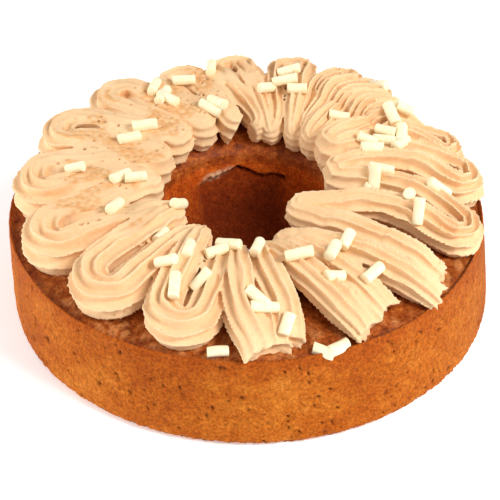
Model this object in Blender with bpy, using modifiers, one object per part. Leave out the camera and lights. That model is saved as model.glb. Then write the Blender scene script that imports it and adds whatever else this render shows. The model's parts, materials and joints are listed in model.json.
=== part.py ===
"""Ring cake with a piped coffee cream wreath and white chocolate sticks (Blender 4.5, metres, +Z up).

The cake stands on z = 0 with the hole's axis on the Z axis. Two objects are built:
cake_ring   the baked ring, with the few sticks that fell on its crust
cream_ring  the cream, piped out and back in one long route, with the sticks that lie on it

Angles are in degrees, anticlockwise from +X as seen from above. Lengths are in millimetres until a mesh is made.
"""

import math
import random

import bmesh
import bpy
from mathutils import Matrix, Vector, noise
from mathutils.bvhtree import BVHTree

MM = 0.001
SEED = 7

# Baked ring.
RIM_RADIUS = 108.4
RIM_HEIGHT = 46.5
RIM_WIDTH = 1.6
SIDE_RADIUS = 111.0
SIDE_WAVE = 0.5
BASE_SHIFT = 0.5
LEAN = 2.5
BASE_CHAMFER = 2.2
HOLE_RADIUS = 43.0
HOLE_BASE_RADIUS = 28.5
SHOULDER_RADIUS = 54.0
SHOULDER_DROP = 9.0
CROWN_RADIUS = 68.0
CROWN_HEIGHT = 49.5
CRUST_EDGE_HEIGHT = 42.8
CRUST_LUMP = 0.8
CRUST_LUMP_SIZE = 11.0
CAKE_STEPS = 60

# Piped cream: the route is a zigzag of lobes. Each row is one lobe's outer end, as (angle, how far out it
# reaches, its width, whether the nozzle was torn off there, how far its middle bows anticlockwise), then the
# inner turn after it, as (angle, how far in it reaches, the bead's radius there).
LOBES = (
    (113.5, 100.5, 32, False, 0, 118, 42, 6.6),
    (133, 106.5, 36, False, 0, 137, 40, 8),
    (155, 109, 37, False, 0, 160, 37, 9),
    (179.5, 109.5, 40, False, 0, 181, 38.5, 6.5),
    (203.5, 108.5, 39, False, 3, 212, 34, 7.5),
    (228, 107.5, 38, False, 3, 237, 35, 8),
    (252, 108, 36, False, 1, 260, 40, 7.5),
    (273.5, 105.5, 31, True, -2, 279, 38.5, 7.5),
    (299.5, 103.8, 32, True, -2, 294, 34.5, 7),
    (321, 106, 30, True, -2, 324, 21.5, 7),
    (343, 109, 30, False, 4, 370, 33.5, 8),
    (365, 109, 31, False, 5, 380, 44, 6),
    (378, 105, 25, False, 6, 392, 37, 8.5),
    (394, 101, 24, True, 5, 399, 45, 6),
    (402, 103, 23, True, 5, 410, 39, 8),
    (411, 104, 23, False, 4, 417, 46, 6),
    (421, 105, 25, False, 2, 424, 42, 6),
    (437, 105, 29, False, 0, 439, 43, 6),
    (456, 103, 30, False, 0, 449, 42, 6),
)
FIRST_TURN = (98.5, 40.5, 6.5)
HOOK = 3.0
BEAD_SHARE = 0.27
MID_BEAD = 0.97
INNER_TURN = 2.6
INNER_SPREAD = 6.6
OVERHANG_RADIUS = 47.0
TEETH = 10
TOOTH_DEPTH = 0.34
BEAD_HALF_HEIGHT = 10.4
CROWDED_HALF_HEIGHT = 8.6
CROWDED_WIDTH = 20.0
SINK = 0.62
LAY_RISE = 2.6
INNER_RISE = 3.0
TALL = 1.3
TALLER_AT = 97
TALLER = 0.26
BACK_RISE = 3.2
WANDER = 0.7
OPEN_DEPTH = 0.42
OPEN_FLARE = 1.12
OPEN_LENGTH = 14.0
OPEN_HEIGHT = 0.6
TORN = 5.0
ROUTE_STEP = 2.4
SECTION_POINTS = 44

CREAM_VOXEL = 1.3
CREAM_TRIANGLES = 7600
CREAM_GAP = 0.8
MENDING_ROUNDS = 6

# Where the cream was pressed flat against a lid: the sector's middle and half width, and the level.
PRESSED_ANGLE = 158
PRESSED_HALF = 56
PRESSED_HEIGHT = 65.5
PRESSED_KEEP = 0.12

# White chocolate sticks, as (angle, distance from the axis, heading, how many fell there).
STICK_LENGTH = 11.0
STICK_RADIUS = 2.5
STICK_SIDES = 8
STICK_SINK = 0.3
PATCH_SPREAD = 3.6
CREAM_STICKS = (
    (103, 85, 90, 1),
    (107, 54, -45, 2),
    (114, 79, 0, 1),
    (125, 80, 80, 2),
    (125, 68, -50, 1),
    (146, 59, 10, 2),
    (180, 79, -23, 1),
    (189, 52, 10, 2),
    (206, 66, 58, 1),
    (216, 39, 70, 1),
    (231, 61, 66, 1),
    (243, 78, -19, 1),
    (247, 67, 77, 1),
    (255, 80, 30, 1),
    (256, 60, 23, 2),
    (249, 88, 87, 1),
    (273, 57, 70, 1),
    (272, 87, -43, 2),
    (279, 97, 58, 1),
    (288, 67, 0, 1),
    (296, 81, 30, 1),
    (300, 70, 66, 1),
    (308, 67, 66, 1),
    (307, 86, 40, 1),
    (337, 80, 87, 1),
    (343, 73, 89, 1),
    (347, 64, 0, 1),
    (352, 53, 53, 1),
    (353, 85, 13, 1),
    (359, 59, -10, 2),
    (13, 57, 0, 1),
    (14, 71, 53, 2),
    (22, 58, 0, 1),
    (23, 68, -30, 2),
    (30, 76, -70, 1),
    (31, 84, -5, 1),
    (46, 60, -5, 1),
    (49, 94, -37, 1),
    (70, 65, -5, 1),
    (76, 77, 0, 1),
    (76, 68, 0, 1),
    (83, 63, 43, 1),
)
CRUST_STICKS = ((262.5, 103.2, 0, 1), (286.8, 105, -20, 1), (290.4, 105, 35, 1))

CRUST_BROWN = (0.42, 0.13, 0.03, 1.0)
COFFEE_CREAM = (0.86, 0.58, 0.34, 1.0)


def clear_scene():
    for obj in list(bpy.data.objects):
        bpy.data.objects.remove(obj)


def new_collection(name):
    collection = bpy.data.collections.new(name)
    bpy.context.scene.collection.children.link(collection)
    return collection


def new_material(name, colour, roughness):
    material = bpy.data.materials.new(name)
    material.use_nodes = True
    shader = material.node_tree.nodes["Principled BSDF"]
    shader.inputs["Base Color"].default_value = colour
    shader.inputs["Roughness"].default_value = roughness
    shader.inputs["Metallic"].default_value = 0.0
    return material


def new_object(name, mesh, collection):
    obj = bpy.data.objects.new(name, mesh)
    collection.objects.link(obj)
    return obj


def polar(angle, radius, height=0.0):
    turn = math.radians(angle)
    return Vector((radius * math.cos(turn), radius * math.sin(turn), height))


def apply_modifiers(obj):
    """Replaces the object's mesh by its evaluated one."""
    bpy.context.view_layer.update()
    evaluated = obj.evaluated_get(bpy.context.evaluated_depsgraph_get())
    mesh = bpy.data.meshes.new_from_object(evaluated)
    obj.modifiers.clear()
    obj.data = mesh


def crust_height(radius):
    """Height of the baked top: an arch between the rim and a rounded shoulder at the hole."""
    if radius > CROWN_RADIUS:
        share = (radius - CROWN_RADIUS) / (RIM_RADIUS - CROWN_RADIUS)
        return CROWN_HEIGHT - (CROWN_HEIGHT - CRUST_EDGE_HEIGHT) * share**1.6
    if radius > SHOULDER_RADIUS:
        return CROWN_HEIGHT
    share = min(1.0, (SHOULDER_RADIUS - radius) / (SHOULDER_RADIUS - HOLE_RADIUS))
    return CROWN_HEIGHT - SHOULDER_DROP * (1 - math.sqrt(1 - share**2))


def ring_profile(lift=0.0):
    """Closed outline of the baked ring's section as (radius, height), from the rim down the side, in under
    the base, up the hole and back over the crust. A lift moves the hole and the crust out of the cake by that
    much, for cutting what lies on it."""
    inner_rim = RIM_RADIUS - RIM_WIDTH
    wall = [
        (RIM_RADIUS, RIM_HEIGHT - 0.6),
        (SIDE_RADIUS - 1.3, RIM_HEIGHT * 0.6),
        (SIDE_RADIUS - 0.3, RIM_HEIGHT * 0.25),
        (SIDE_RADIUS, BASE_CHAMFER),
        (SIDE_RADIUS - BASE_CHAMFER, 0.0),
        (HOLE_BASE_RADIUS + BASE_CHAMFER - lift, 0.0),
        (HOLE_BASE_RADIUS - lift, BASE_CHAMFER),
        (HOLE_RADIUS - 3.5 - lift, RIM_HEIGHT * 0.5),
    ]
    shoulder_steps = 4
    shoulder_width = SHOULDER_RADIUS - HOLE_RADIUS
    shoulder = []
    for step in range(shoulder_steps + 1):
        turn = math.pi / 2 * step / shoulder_steps
        radius = HOLE_RADIUS + shoulder_width * (1 - math.cos(turn))
        shoulder.append((radius - lift * math.cos(turn), crust_height(radius) + lift * math.sin(turn)))
    crust = [CROWN_RADIUS, 80.0, 90.0, 97.0, 103.0, inner_rim - 0.6 - lift]
    top = [(radius, crust_height(radius) + lift) for radius in crust]
    rim = [(inner_rim - lift, crust_height(inner_rim) + 1.2 + lift), (inner_rim + 0.6, RIM_HEIGHT + lift)]
    return wall + shoulder + top + rim


def turned_ring(name, collection, lift=0.0):
    """The ring's section turned about the Z axis."""
    mesh = bpy.data.meshes.new(name)
    points = [(radius * MM, 0.0, height * MM) for radius, height in ring_profile(lift)]
    count = len(points)
    mesh.from_pydata(points, [(i, (i + 1) % count) for i in range(count)], [])
    ring = new_object(name, mesh, collection)
    screw = ring.modifiers.new("turn", "SCREW")
    screw.axis = "Z"
    screw.steps = screw.render_steps = CAKE_STEPS
    screw.use_merge_vertices = True
    screw.merge_threshold = 0.0001
    apply_modifiers(ring)
    return ring


def lean(ring):
    """Leans the side: the top of the cake sits a little to one side of its base."""
    for vertex in ring.data.vertices:
        radius = math.hypot(vertex.co.x, vertex.co.y) / MM
        share = min(1.0, max(0.0, (radius - HOLE_RADIUS) / (RIM_RADIUS - HOLE_RADIUS)))
        vertex.co.x += share * (BASE_SHIFT - LEAN * vertex.co.z / MM / RIM_HEIGHT) * MM


def roughen_crust(ring):
    """Raises low lumps on the crust and lets the side and rim wander a little, as a baked surface does."""
    for vertex in ring.data.vertices:
        radius = math.hypot(vertex.co.x, vertex.co.y) / MM
        height = vertex.co.z / MM
        place = vertex.co / (CRUST_LUMP_SIZE * MM)
        if HOLE_RADIUS + 1 < radius < RIM_RADIUS - RIM_WIDTH and height > CRUST_EDGE_HEIGHT * 0.8:
            vertex.co.z += CRUST_LUMP * MM * noise.noise(place)
        elif radius > RIM_RADIUS - RIM_WIDTH and height > BASE_CHAMFER + 1:
            swell = 1 - SIDE_WAVE / RIM_RADIUS * abs(noise.noise(place * 0.6))
            vertex.co.x *= swell
            vertex.co.y *= swell


class Stop:
    """One point that the nozzle passes: its place in plan, the bead's radius and its lift above the crust."""

    def __init__(self, place, radius, lift):
        self.row = (place.x, place.y, radius, lift)


def inner_stops(angle, reach, radius, rng):
    """The tight turn at the hole, where the beads crowd and pile up."""
    centre = polar(angle, reach + radius)
    along = polar(angle + 90, INNER_TURN)
    outward = polar(angle, INNER_TURN)
    lift = rng.uniform(-1.0, 1.0)
    return [
        Stop(centre - along + outward, radius, lift),
        Stop(centre, radius, lift + 0.5),
        Stop(centre + along + outward, radius, lift + 1.5),
    ]


def lobe_stops(lobe, before, rng):
    """The way out, the outer turn and the way back of one lobe. A torn lobe has two loose ends instead of the
    turn, so the way back is returned apart."""
    angle, reach, width, torn, bow, next_angle, next_reach, next_radius = lobe
    radius = width * BEAD_SHARE
    turn = width / 2 - radius
    centre = polar(angle, reach - radius - turn)
    inner_before = polar(before[0], before[1] + before[2])
    inner_after = polar(next_angle, next_reach + next_radius)
    ahead = (centre - (inner_before + inner_after) / 2).normalized()
    ahead.rotate(Matrix.Rotation(math.radians(-HOOK * bow), 3, "Z"))
    left = Vector((-ahead.y, ahead.x, 0))
    mid_radius = radius * MID_BEAD
    mid_out = inner_before.lerp(centre - left * turn * 0.7, 0.55) + left * (bow + rng.uniform(-WANDER, WANDER))
    mid_back = inner_after.lerp(centre + left * turn * 0.7, 0.55) + left * (bow + rng.uniform(-WANDER, WANDER))
    way_out = [Stop(mid_out, mid_radius, LAY_RISE + BACK_RISE / 2), Stop(centre - left * turn, radius, LAY_RISE / 2)]
    way_back = [Stop(centre + left * turn, radius, 0), Stop(mid_back, mid_radius, BACK_RISE / 2)]
    if torn:
        loose_out = Stop(centre - left * turn * 0.8 + ahead * (turn + radius - TORN * 0.7), radius, 0.5)
        loose_back = Stop(centre + left * turn * 1.1 + ahead * (turn + radius * 0.3), radius, 0)
        return way_out + [loose_out], [loose_back] + way_back
    diagonal = math.sqrt(0.5)
    outer_turn = [
        Stop(centre + (ahead - left) * turn * diagonal, radius, 1),
        Stop(centre + ahead * turn, radius, 0),
        Stop(centre + (ahead + left) * turn * diagonal, radius, 0),
    ]
    return way_out + outer_turn + way_back, []


def smooth(rows, step):
    """A Catmull-Rom curve through the rows, whose first two numbers are the place, in even steps."""
    rows = [Vector(row) for row in rows]
    padded = [rows[0] * 2 - rows[1]] + rows + [rows[-1] * 2 - rows[-2]]
    fine = []
    for a, b, c, d in zip(padded, padded[1:], padded[2:], padded[3:]):
        for part in range(10):
            t = part / 10
            fine.append(
                (b * 2 + (c - a) * t + (a * 2 - b * 5 + c * 4 - d) * t**2 + (b * 3 - a - c * 3 + d) * t**3) / 2
            )
    fine.append(rows[-1])
    even, left = [fine[0]], step
    for here, ahead in zip(fine, fine[1:]):
        length = (ahead - here).xy.length
        while length > left:
            here = here.lerp(ahead, left / length)
            even.append(here)
            length -= left
            left = step
        left -= length
    return even


def bead_routes():
    """The nozzle's route, as beads of rows (x, y, radius, lift), and whether each bead's two ends are torn."""
    rng = random.Random(SEED)
    beads, starts_torn = [], False
    stops = inner_stops(*FIRST_TURN, rng)[1:]
    before = FIRST_TURN
    for lobe in LOBES:
        out, back = lobe_stops(lobe, before, rng)
        before = lobe[5:]
        stops += out
        if back:
            beads.append((stops, starts_torn, True))
            stops, starts_torn = back, True
        stops += inner_stops(*before, rng)
    beads.append((stops[:-1], starts_torn, False))
    return [(smooth([stop.row for stop in stops], ROUTE_STEP), first, last) for stops, first, last in beads]


def tallness(x, y):
    """How much taller than wide the beads are: most at the far side, where they crowd each other."""
    return TALL + TALLER * math.cos(math.atan2(y, x) - math.radians(TALLER_AT))


def section_radius(turn, depth):
    """The nozzle's mouth at an angle round the bead: sharp crests with round grooves between them."""
    return 1 - depth * abs(math.sin(turn * TEETH / 2)) ** 0.8


def bead_mesh(route, torn_start, torn_end, rng):
    """One bead swept along its route and closed at both ends. A torn end flares, and its crests stick out."""
    last = len(route) - 1
    phase = rng.uniform(0, 2 * math.pi)
    tears = [rng.uniform(0, TORN) for _ in range(TEETH)]
    centres, half_heights, openings, points, faces = [], [], [], [], []
    for index, (x, y, radius, lift) in enumerate(route):
        end_gap = min(index if torn_start else last, last - index if torn_end else last) * ROUTE_STEP
        opening = max(0.0, 1 - end_gap / OPEN_LENGTH) ** 1.5
        least = CROWDED_HALF_HEIGHT * min(1.0, max(0.0, (math.hypot(x, y) - SHOULDER_RADIUS) / CROWDED_WIDTH))
        half_height = min(max(radius, least), BEAD_HALF_HEIGHT) * tallness(x, y)
        flatter = 1 - (1 - OPEN_HEIGHT) * opening
        height = crust_height(max(math.hypot(x, y), OVERHANG_RADIUS)) + half_height * flatter * SINK + lift
        crowding = max(0.0, 1 - (math.hypot(x, y) - INNER_SPREAD - HOLE_RADIUS) / (RIM_RADIUS - HOLE_RADIUS))
        centres.append(Vector((x, y, height + INNER_RISE * min(1.0, crowding) ** 2)))
        half_heights.append(half_height * flatter)
        openings.append(opening)
    for index, centre in enumerate(centres):
        ahead = (centres[min(last, index + 1)] - centres[max(0, index - 1)]).normalized()
        side = ahead.cross(Vector((0, 0, 1))).normalized()
        up = side.cross(ahead)
        opening = openings[index]
        depth = TOOTH_DEPTH + (OPEN_DEPTH - TOOTH_DEPTH) * opening
        wide = route[index][2] * (1 + (OPEN_FLARE - 1) * opening)
        outward = 1 if index > last / 2 else -1
        for step in range(SECTION_POINTS):
            turn = 2 * math.pi * step / SECTION_POINTS
            reach = section_radius(turn, depth)
            tear = tears[int(turn / (2 * math.pi) * TEETH + 0.5) % TEETH]
            swing = turn + phase
            place = centre + side * reach * wide * math.cos(swing)
            place += up * reach * half_heights[index] * math.sin(swing)
            points.append(place + ahead * outward * tear * opening)
    for index in range(last):
        for step in range(SECTION_POINTS):
            a = index * SECTION_POINTS + step
            b = index * SECTION_POINTS + (step + 1) % SECTION_POINTS
            faces.append((a, b, b + SECTION_POINTS, a + SECTION_POINTS))
    for index, flip in ((0, False), (last, True)):
        points.append(centres[index])
        for step in range(SECTION_POINTS):
            a = index * SECTION_POINTS + step
            b = index * SECTION_POINTS + (step + 1) % SECTION_POINTS
            faces.append((b, a, len(points) - 1) if not flip else (a, b, len(points) - 1))
    return [point * MM for point in points], faces


def angle_between(a, b):
    return abs((a - b + 180) % 360 - 180)


def press_flat(mesh):
    """Presses the tops of the lobes in one sector down to a nearly level face."""
    for vertex in mesh.vertices:
        angle = math.degrees(math.atan2(vertex.co.y, vertex.co.x))
        away = angle_between(angle, PRESSED_ANGLE) / PRESSED_HALF
        level = (PRESSED_HEIGHT + 12 * max(0.0, away - 0.8)) * MM
        if away < 1.4 and vertex.co.z > level:
            vertex.co.z = level + (vertex.co.z - level) * PRESSED_KEEP


def boolean(obj, operation, other):
    """Cuts the other object from obj, or joins a collection of them to it, and removes what was used."""
    modifier = obj.modifiers.new(operation, "BOOLEAN")
    modifier.operation = operation
    modifier.solver = "MANIFOLD"
    if isinstance(other, bpy.types.Collection):
        modifier.operand_type = "COLLECTION"
        modifier.collection = other
        used = list(other.objects)
    else:
        modifier.object = other
        used = [other]
    apply_modifiers(obj)
    for piece in used:
        bpy.data.objects.remove(piece)


def keep_largest_body(obj):
    """Removes loose scraps and sealed pockets, which are separate shells of the mesh."""
    mesh = bmesh.new()
    mesh.from_mesh(obj.data)
    mesh.verts.ensure_lookup_table()
    shell = {}
    for start in mesh.verts:
        if start.index in shell:
            continue
        shell[start.index] = start.index
        pending = [start]
        while pending:
            for edge in pending.pop().link_edges:
                for vertex in edge.verts:
                    if vertex.index not in shell:
                        shell[vertex.index] = start.index
                        pending.append(vertex)
    sizes = {}
    for label in shell.values():
        sizes[label] = sizes.get(label, 0) + 1
    largest = max(sizes, key=sizes.get)
    loose = [vertex for vertex in mesh.verts if shell[vertex.index] != largest]
    bmesh.ops.delete(mesh, geom=loose, context="VERTS")
    mesh.to_mesh(obj.data)
    mesh.free()


def mend(obj):
    """Closes the surface again where thinning pinched it: the pinched corners go, and their holes are filled."""
    mesh = bmesh.new()
    mesh.from_mesh(obj.data)
    for _ in range(MENDING_ROUNDS):
        pinched = {vertex for edge in mesh.edges if not edge.is_manifold for vertex in edge.verts}
        pinched |= {vertex for vertex in mesh.verts if not vertex.is_manifold}
        if not pinched:
            break
        bmesh.ops.delete(mesh, geom=list(pinched), context="VERTS")
        filled = bmesh.ops.holes_fill(mesh, edges=[edge for edge in mesh.edges if edge.is_boundary])
        bmesh.ops.triangulate(mesh, faces=filled["faces"])
        bmesh.ops.recalc_face_normals(mesh, faces=mesh.faces)
    mesh.to_mesh(obj.data)
    mesh.free()


def cream_body(collection, helpers):
    """All beads made one body, cut to lie just above the crust, pressed, and thinned to few triangles."""
    rng = random.Random(SEED + 2)
    points, faces = [], []
    for route, torn_start, torn_end in bead_routes():
        bead_points, bead_faces = bead_mesh(route, torn_start, torn_end, rng)
        faces += [tuple(corner + len(points) for corner in face) for face in bead_faces]
        points += bead_points
    mesh = bpy.data.meshes.new("cream_ring")
    mesh.from_pydata(points, [], faces)
    cream = new_object("cream_ring", mesh, collection)
    remesh = cream.modifiers.new("one_body", "REMESH")
    remesh.mode = "VOXEL"
    remesh.voxel_size = CREAM_VOXEL * MM
    apply_modifiers(cream)
    keep_largest_body(cream)
    cutter = turned_ring("crust_cutter", helpers, CREAM_GAP + CRUST_LUMP * 0.5)
    lean(cutter)
    boolean(cream, "DIFFERENCE", cutter)
    keep_largest_body(cream)
    press_flat(cream.data)
    cream.data.calc_loop_triangles()
    thin = cream.modifiers.new("few_triangles", "DECIMATE")
    thin.ratio = CREAM_TRIANGLES / len(cream.data.loop_triangles)
    apply_modifiers(cream)
    mend(cream)
    keep_largest_body(cream)
    return cream


def stick_mesh(rng):
    """One stick lying along X, cut square at both ends."""
    mesh = bpy.data.meshes.new("stick")
    rod = bmesh.new()
    length = STICK_LENGTH * rng.uniform(0.8, 1.1) * MM
    radius = STICK_RADIUS * rng.uniform(0.9, 1.08) * MM
    bmesh.ops.create_cone(
        rod, cap_ends=True, segments=STICK_SIDES, radius1=radius, radius2=radius, depth=length
    )
    bmesh.ops.rotate(rod, verts=rod.verts, matrix=Matrix.Rotation(math.pi / 2, 3, "Y"))
    rod.to_mesh(mesh)
    rod.free()
    return mesh


def scatter_sticks(patches, surface, collection, seed):
    """Lays sticks on a surface: each falls in its patch, and tilts to rest on the surface."""
    rng = random.Random(seed)
    bpy.context.view_layer.update()
    tree = BVHTree.FromObject(surface, bpy.context.evaluated_depsgraph_get())

    def surface_point(place):
        hit = tree.ray_cast(Vector((place.x, place.y, 0.2)), Vector((0, 0, -1)))[0]
        return hit or Vector((place.x, place.y, CROWN_HEIGHT * MM))

    for angle, distance, heading, count in patches:
        for number in range(count):
            spread = PATCH_SPREAD * (number > 0)
            shift = Vector((rng.gauss(0, spread), rng.gauss(0, spread), 0))
            place = (polar(angle, distance) + shift) * MM
            turned = math.radians(heading + rng.gauss(0, 5 + 30 * (number > 0)))
            along = Vector((math.cos(turned), math.sin(turned), 0))
            half = along * STICK_LENGTH * 0.4 * MM
            low, middle, high = (surface_point(place + half * side) for side in (-1, 0, 1))
            direction = (high - low).normalized()
            lift = STICK_RADIUS * (1 - STICK_SINK) * MM
            stick = new_object("stick", stick_mesh(rng), collection)
            stick.rotation_euler = direction.to_track_quat("X", "Z").to_euler()
            stick.location = (place.x, place.y, max(middle.z, (low.z + high.z) / 2) + lift)


def main():
    clear_scene()
    parts = new_collection("ring_cake")
    helpers = new_collection("helpers")
    helpers.hide_render = True
    sticks = new_collection("sticks")

    cake = turned_ring("cake_ring", parts)
    roughen_crust(cake)
    lean(cake)
    cream = cream_body(parts, helpers)

    scatter_sticks(CREAM_STICKS, cream, sticks, SEED)
    boolean(cream, "UNION", sticks)
    keep_largest_body(cream)
    scatter_sticks(CRUST_STICKS, cake, sticks, SEED + 1)
    boolean(cake, "UNION", sticks)
    keep_largest_body(cake)

    cake.data.materials.append(new_material("baked_crust", CRUST_BROWN, 0.75))
    cream.data.materials.append(new_material("coffee_cream", COFFEE_CREAM, 0.55))
    for obj in (cake, cream):
        obj.data.shade_smooth()
        obj.data.set_sharp_from_angle(angle=math.radians(50))


main()
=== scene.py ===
"""Looks of the ring cake: baked sponge with its crust, piped coffee cream and white chocolate sticks.

Angles are in degrees, anticlockwise from +X as seen from above. Lengths are in millimetres until a mesh is
made. The nozzle's route is the same as in the part's source.
"""

import json
import math
import random

import bpy
import numpy as np
from mathutils import Matrix, Vector, noise
from mathutils.bvhtree import BVHTree

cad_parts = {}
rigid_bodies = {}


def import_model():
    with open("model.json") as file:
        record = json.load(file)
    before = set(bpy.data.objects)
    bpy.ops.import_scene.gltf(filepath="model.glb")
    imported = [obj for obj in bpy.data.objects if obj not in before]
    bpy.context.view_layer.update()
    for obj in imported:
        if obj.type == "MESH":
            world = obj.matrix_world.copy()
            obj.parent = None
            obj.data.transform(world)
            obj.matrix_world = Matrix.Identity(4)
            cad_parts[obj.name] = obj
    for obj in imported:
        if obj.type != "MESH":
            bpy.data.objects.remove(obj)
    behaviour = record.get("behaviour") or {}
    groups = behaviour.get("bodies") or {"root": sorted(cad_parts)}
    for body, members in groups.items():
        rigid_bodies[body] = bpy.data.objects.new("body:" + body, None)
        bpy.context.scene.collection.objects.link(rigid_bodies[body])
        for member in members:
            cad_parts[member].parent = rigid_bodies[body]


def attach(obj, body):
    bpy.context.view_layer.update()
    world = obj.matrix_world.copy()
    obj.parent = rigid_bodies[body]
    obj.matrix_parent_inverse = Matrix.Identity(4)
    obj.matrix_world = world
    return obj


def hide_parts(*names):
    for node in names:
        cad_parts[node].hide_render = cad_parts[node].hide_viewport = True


for default_object in list(bpy.data.objects):
    bpy.data.objects.remove(default_object)
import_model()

MM = 0.001
SEED = 7

# The baked ring's section.
RIM_RADIUS = 108.4
RIM_HEIGHT = 46.5
RIM_WIDTH = 1.6
SIDE_RADIUS = 111.0
BASE_CHAMFER = 2.2
HOLE_RADIUS = 43.0
HOLE_BASE_RADIUS = 28.5
SHOULDER_RADIUS = 54.0
SHOULDER_DROP = 9.0
SHOULDER_STEPS = 16
CROWN_RADIUS = 68.0
CROWN_HEIGHT = 49.5
CROWN_CURVE = 1.6
CRUST_EDGE_HEIGHT = 42.8
# How far inside its radius the side is, at which share of the rim's height, and the same of the hole's wall.
SIDE_BULGE = ((1.3, 0.6), (0.3, 0.25))
HOLE_WAIST = (3.5, 0.5)
# The rim's rounded edges, each as (along the radius, down or up).
RIM_OUTER_EDGE = (0.5, 0.6)
RIM_INNER_EDGE = ((0.3, 0.7), (0.7, 0.1))
RIM_FILLET = (0.5, 0.8)
FILLET_MARGIN = 1.5
# The base is shifted along X, and the ring leans back the more the higher it is.
BASE_SHIFT = 0.5
LEAN = 2.5
# How fine the mesh is, round the axis, along the section and across the base.
CAKE_STEPS = 760
PROFILE_STEP = 0.9
BASE_STEP = 15
BASE_STEPS = 4

# Piped cream. A lobe is its outer end as (angle, reach, width, torn), how far its middle bows
# anticlockwise, and the inner turn after it as (angle, reach, bead radius).
LOBES = (
    (113.5, 100.5, 32, False, 0, 118, 42, 6.6),
    (133, 106.5, 36, False, 0, 137, 40, 8),
    (155, 109, 37, False, 0, 160, 37, 9),
    (179.5, 109.5, 40, False, 0, 181, 38.5, 6.5),
    (203.5, 108.5, 39, False, 3, 212, 34, 7.5),
    (228, 107.5, 38, False, 3, 237, 35, 8),
    (252, 108, 36, False, 1, 260, 40, 7.5),
    (273.5, 105.5, 31, True, -2, 279, 38.5, 7.5),
    (299.5, 103.8, 32, True, -2, 294, 34.5, 7),
    (321, 106, 30, True, -2, 324, 21.5, 7),
    (343, 109, 30, False, 4, 370, 33.5, 8),
    (365, 109, 31, False, 5, 380, 44, 6),
    (378, 105, 25, False, 6, 392, 37, 8.5),
    (394, 101, 24, True, 5, 399, 45, 6),
    (402, 103, 23, True, 5, 410, 39, 8),
    (411, 104, 23, False, 4, 417, 46, 6),
    (421, 105, 25, False, 2, 424, 42, 6),
    (437, 105, 29, False, 0, 439, 43, 6),
    (456, 103, 30, False, 0, 449, 42, 6),
)
FIRST_TURN = (98.5, 40.5, 6.5)
# Arcs in which the inner turns are drawn down to points, and how thin the points are.
POINTED_ARCS = ((225, 300), (395, 460))
POINT_SHARE = 0.62
# The lobes whose outer turns are ribbed like shells: their middle and half width, and how much deeper.
SHELL_ANGLE = 352.0
SHELL_HALF = 30.0
SHELL_DEEPER = 0.5
# The lobe that ends in a broad flap: how much wider it is, how its loose ends draw together, and how much
# ridge they keep.
FLAP_ANGLE = 273.5
FLAP_WIDER = 5.0
FLAP_TOGETHER = 0.6
FLAP_RIDGES = 0.35
FLAP_FILLING = (-2.6, -1.2, 0.2, 1.7)
FLAP_FILLING_WIDTH = 0.9
# How much a lobe's outer end turns for each millimetre that its middle bows.
HOOK = 3.0
# A bead's radius as a share of its lobe's width, and in the lobe's middle as a share of that.
BEAD_SHARE = 0.27
MID_BEAD = 0.97
# Where a lobe's middle is between its inner and outer turns, and how far apart its two ways are.
MID_PLACE = 0.55
MID_APART = 0.7
# The inner turns, how high they and the outer ones lie, and how uneven they and the ways are.
INNER_TURN = 2.6
OUTER_LIFT = 1
TURN_LIFT = 1.0
TIP_LIFT = 0.5
AFTER_TIP_LIFT = 1.5
WANDER = 0.7
# A torn lobe's two loose ends: how far to the side, in shares of the turn, how far ahead, and how high.
LOOSE_OUT_SIDE = 0.8
LOOSE_OUT_SHORT = 0.7
LOOSE_OUT_LIFT = 0.5
LOOSE_BACK_SIDE = 1.1
LOOSE_BACK_AHEAD = 0.3
# How the cream lies: its beads sink in, and rise where they crowd each other at the hole and at the back.
OVERHANG_RADIUS = 47.0
INNER_SPREAD = 6.6
INNER_RISE = 3.0
LAY_RISE = 2.6
BACK_RISE = 3.2
SINK = 0.62
TALL = 1.3
TALLER_AT = 97
TALLER = 0.26
BEAD_HALF_HEIGHT = 10.4
CROWDED_HALF_HEIGHT = 8.6
CROWDED_WIDTH = 20.0
# The nozzle's teeth. Their grooves are shallower at the hole, between these two distances from the axis.
TEETH = 10
TOOTH_DEPTH = 0.37
INNER_DEPTH = 0.5
INNER_DEPTH_ENDS = (45, 62)
GROOVE_CURVE = 0.75
# The shell ridges start between these two distances from the axis, and fade over this share of their arc.
SHELL_STARTS = (78, 92)
SHELL_FULL = 0.6
# How a bead swells, how its crests grow and wave, and how it twists, over how many steps of the route.
PULSE = 0.08
PULSE_LENGTH = 24
CREST_HEIGHT = 0.07
CREST_DEPTH = 0.5
CREST_LENGTH = 14
WAVE = 0.13
WAVE_LENGTH = 9
TWIST = 0.25
TWIST_LENGTH = 60
# How far apart the teeth and beads are in their noise, and where it starts. The pulse has no teeth.
CREST_NOISE = (3.1, 5.7, 0)
WAVE_NOISE = (2.3, 3.3, 50)
PULSE_NOISE = (7.3, 4.0)
# A torn end opens: its ridges' depth, width, height and length, and how far its crests stick out.
OPEN_DEPTH = 0.34
OPEN_FLARE = 1.12
OPEN_HEIGHT = 0.45
OPEN_LENGTH = 14.0
OPEN_CURVE = 1.5
TORN = 5.0
TORN_GROOVES = 0.3
TORN_HOLLOW = 2.5
# How fine the cream is.
ROUTE_STEP = 1.0
CURVE_PARTS = 20
SECTION_POINTS = 88
CREAM_VOXEL = 0.65

# A lid pressed the cream flat: the middle and half width of the arc, how high it came, and how much of what
# was above that is left. Beyond the core it rises, and it touches nothing beyond the reach.
PRESSED_ANGLE = 158
PRESSED_HALF = 56
PRESSED_HEIGHT = 65.5
PRESSED_KEEP = 0.12
PRESSED_CORE = 0.8
PRESSED_REACH = 1.4
PRESSED_SLOPE = 12
# How uneven the lid left it, as (height, size, offset) of noise that is stretched upwards.
PRESSED_WAVES = ((1.3, 18.0, 61.0), (0.5, 5.0, 67.0))
UPRIGHT = (1, 1, 0.2)
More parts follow.
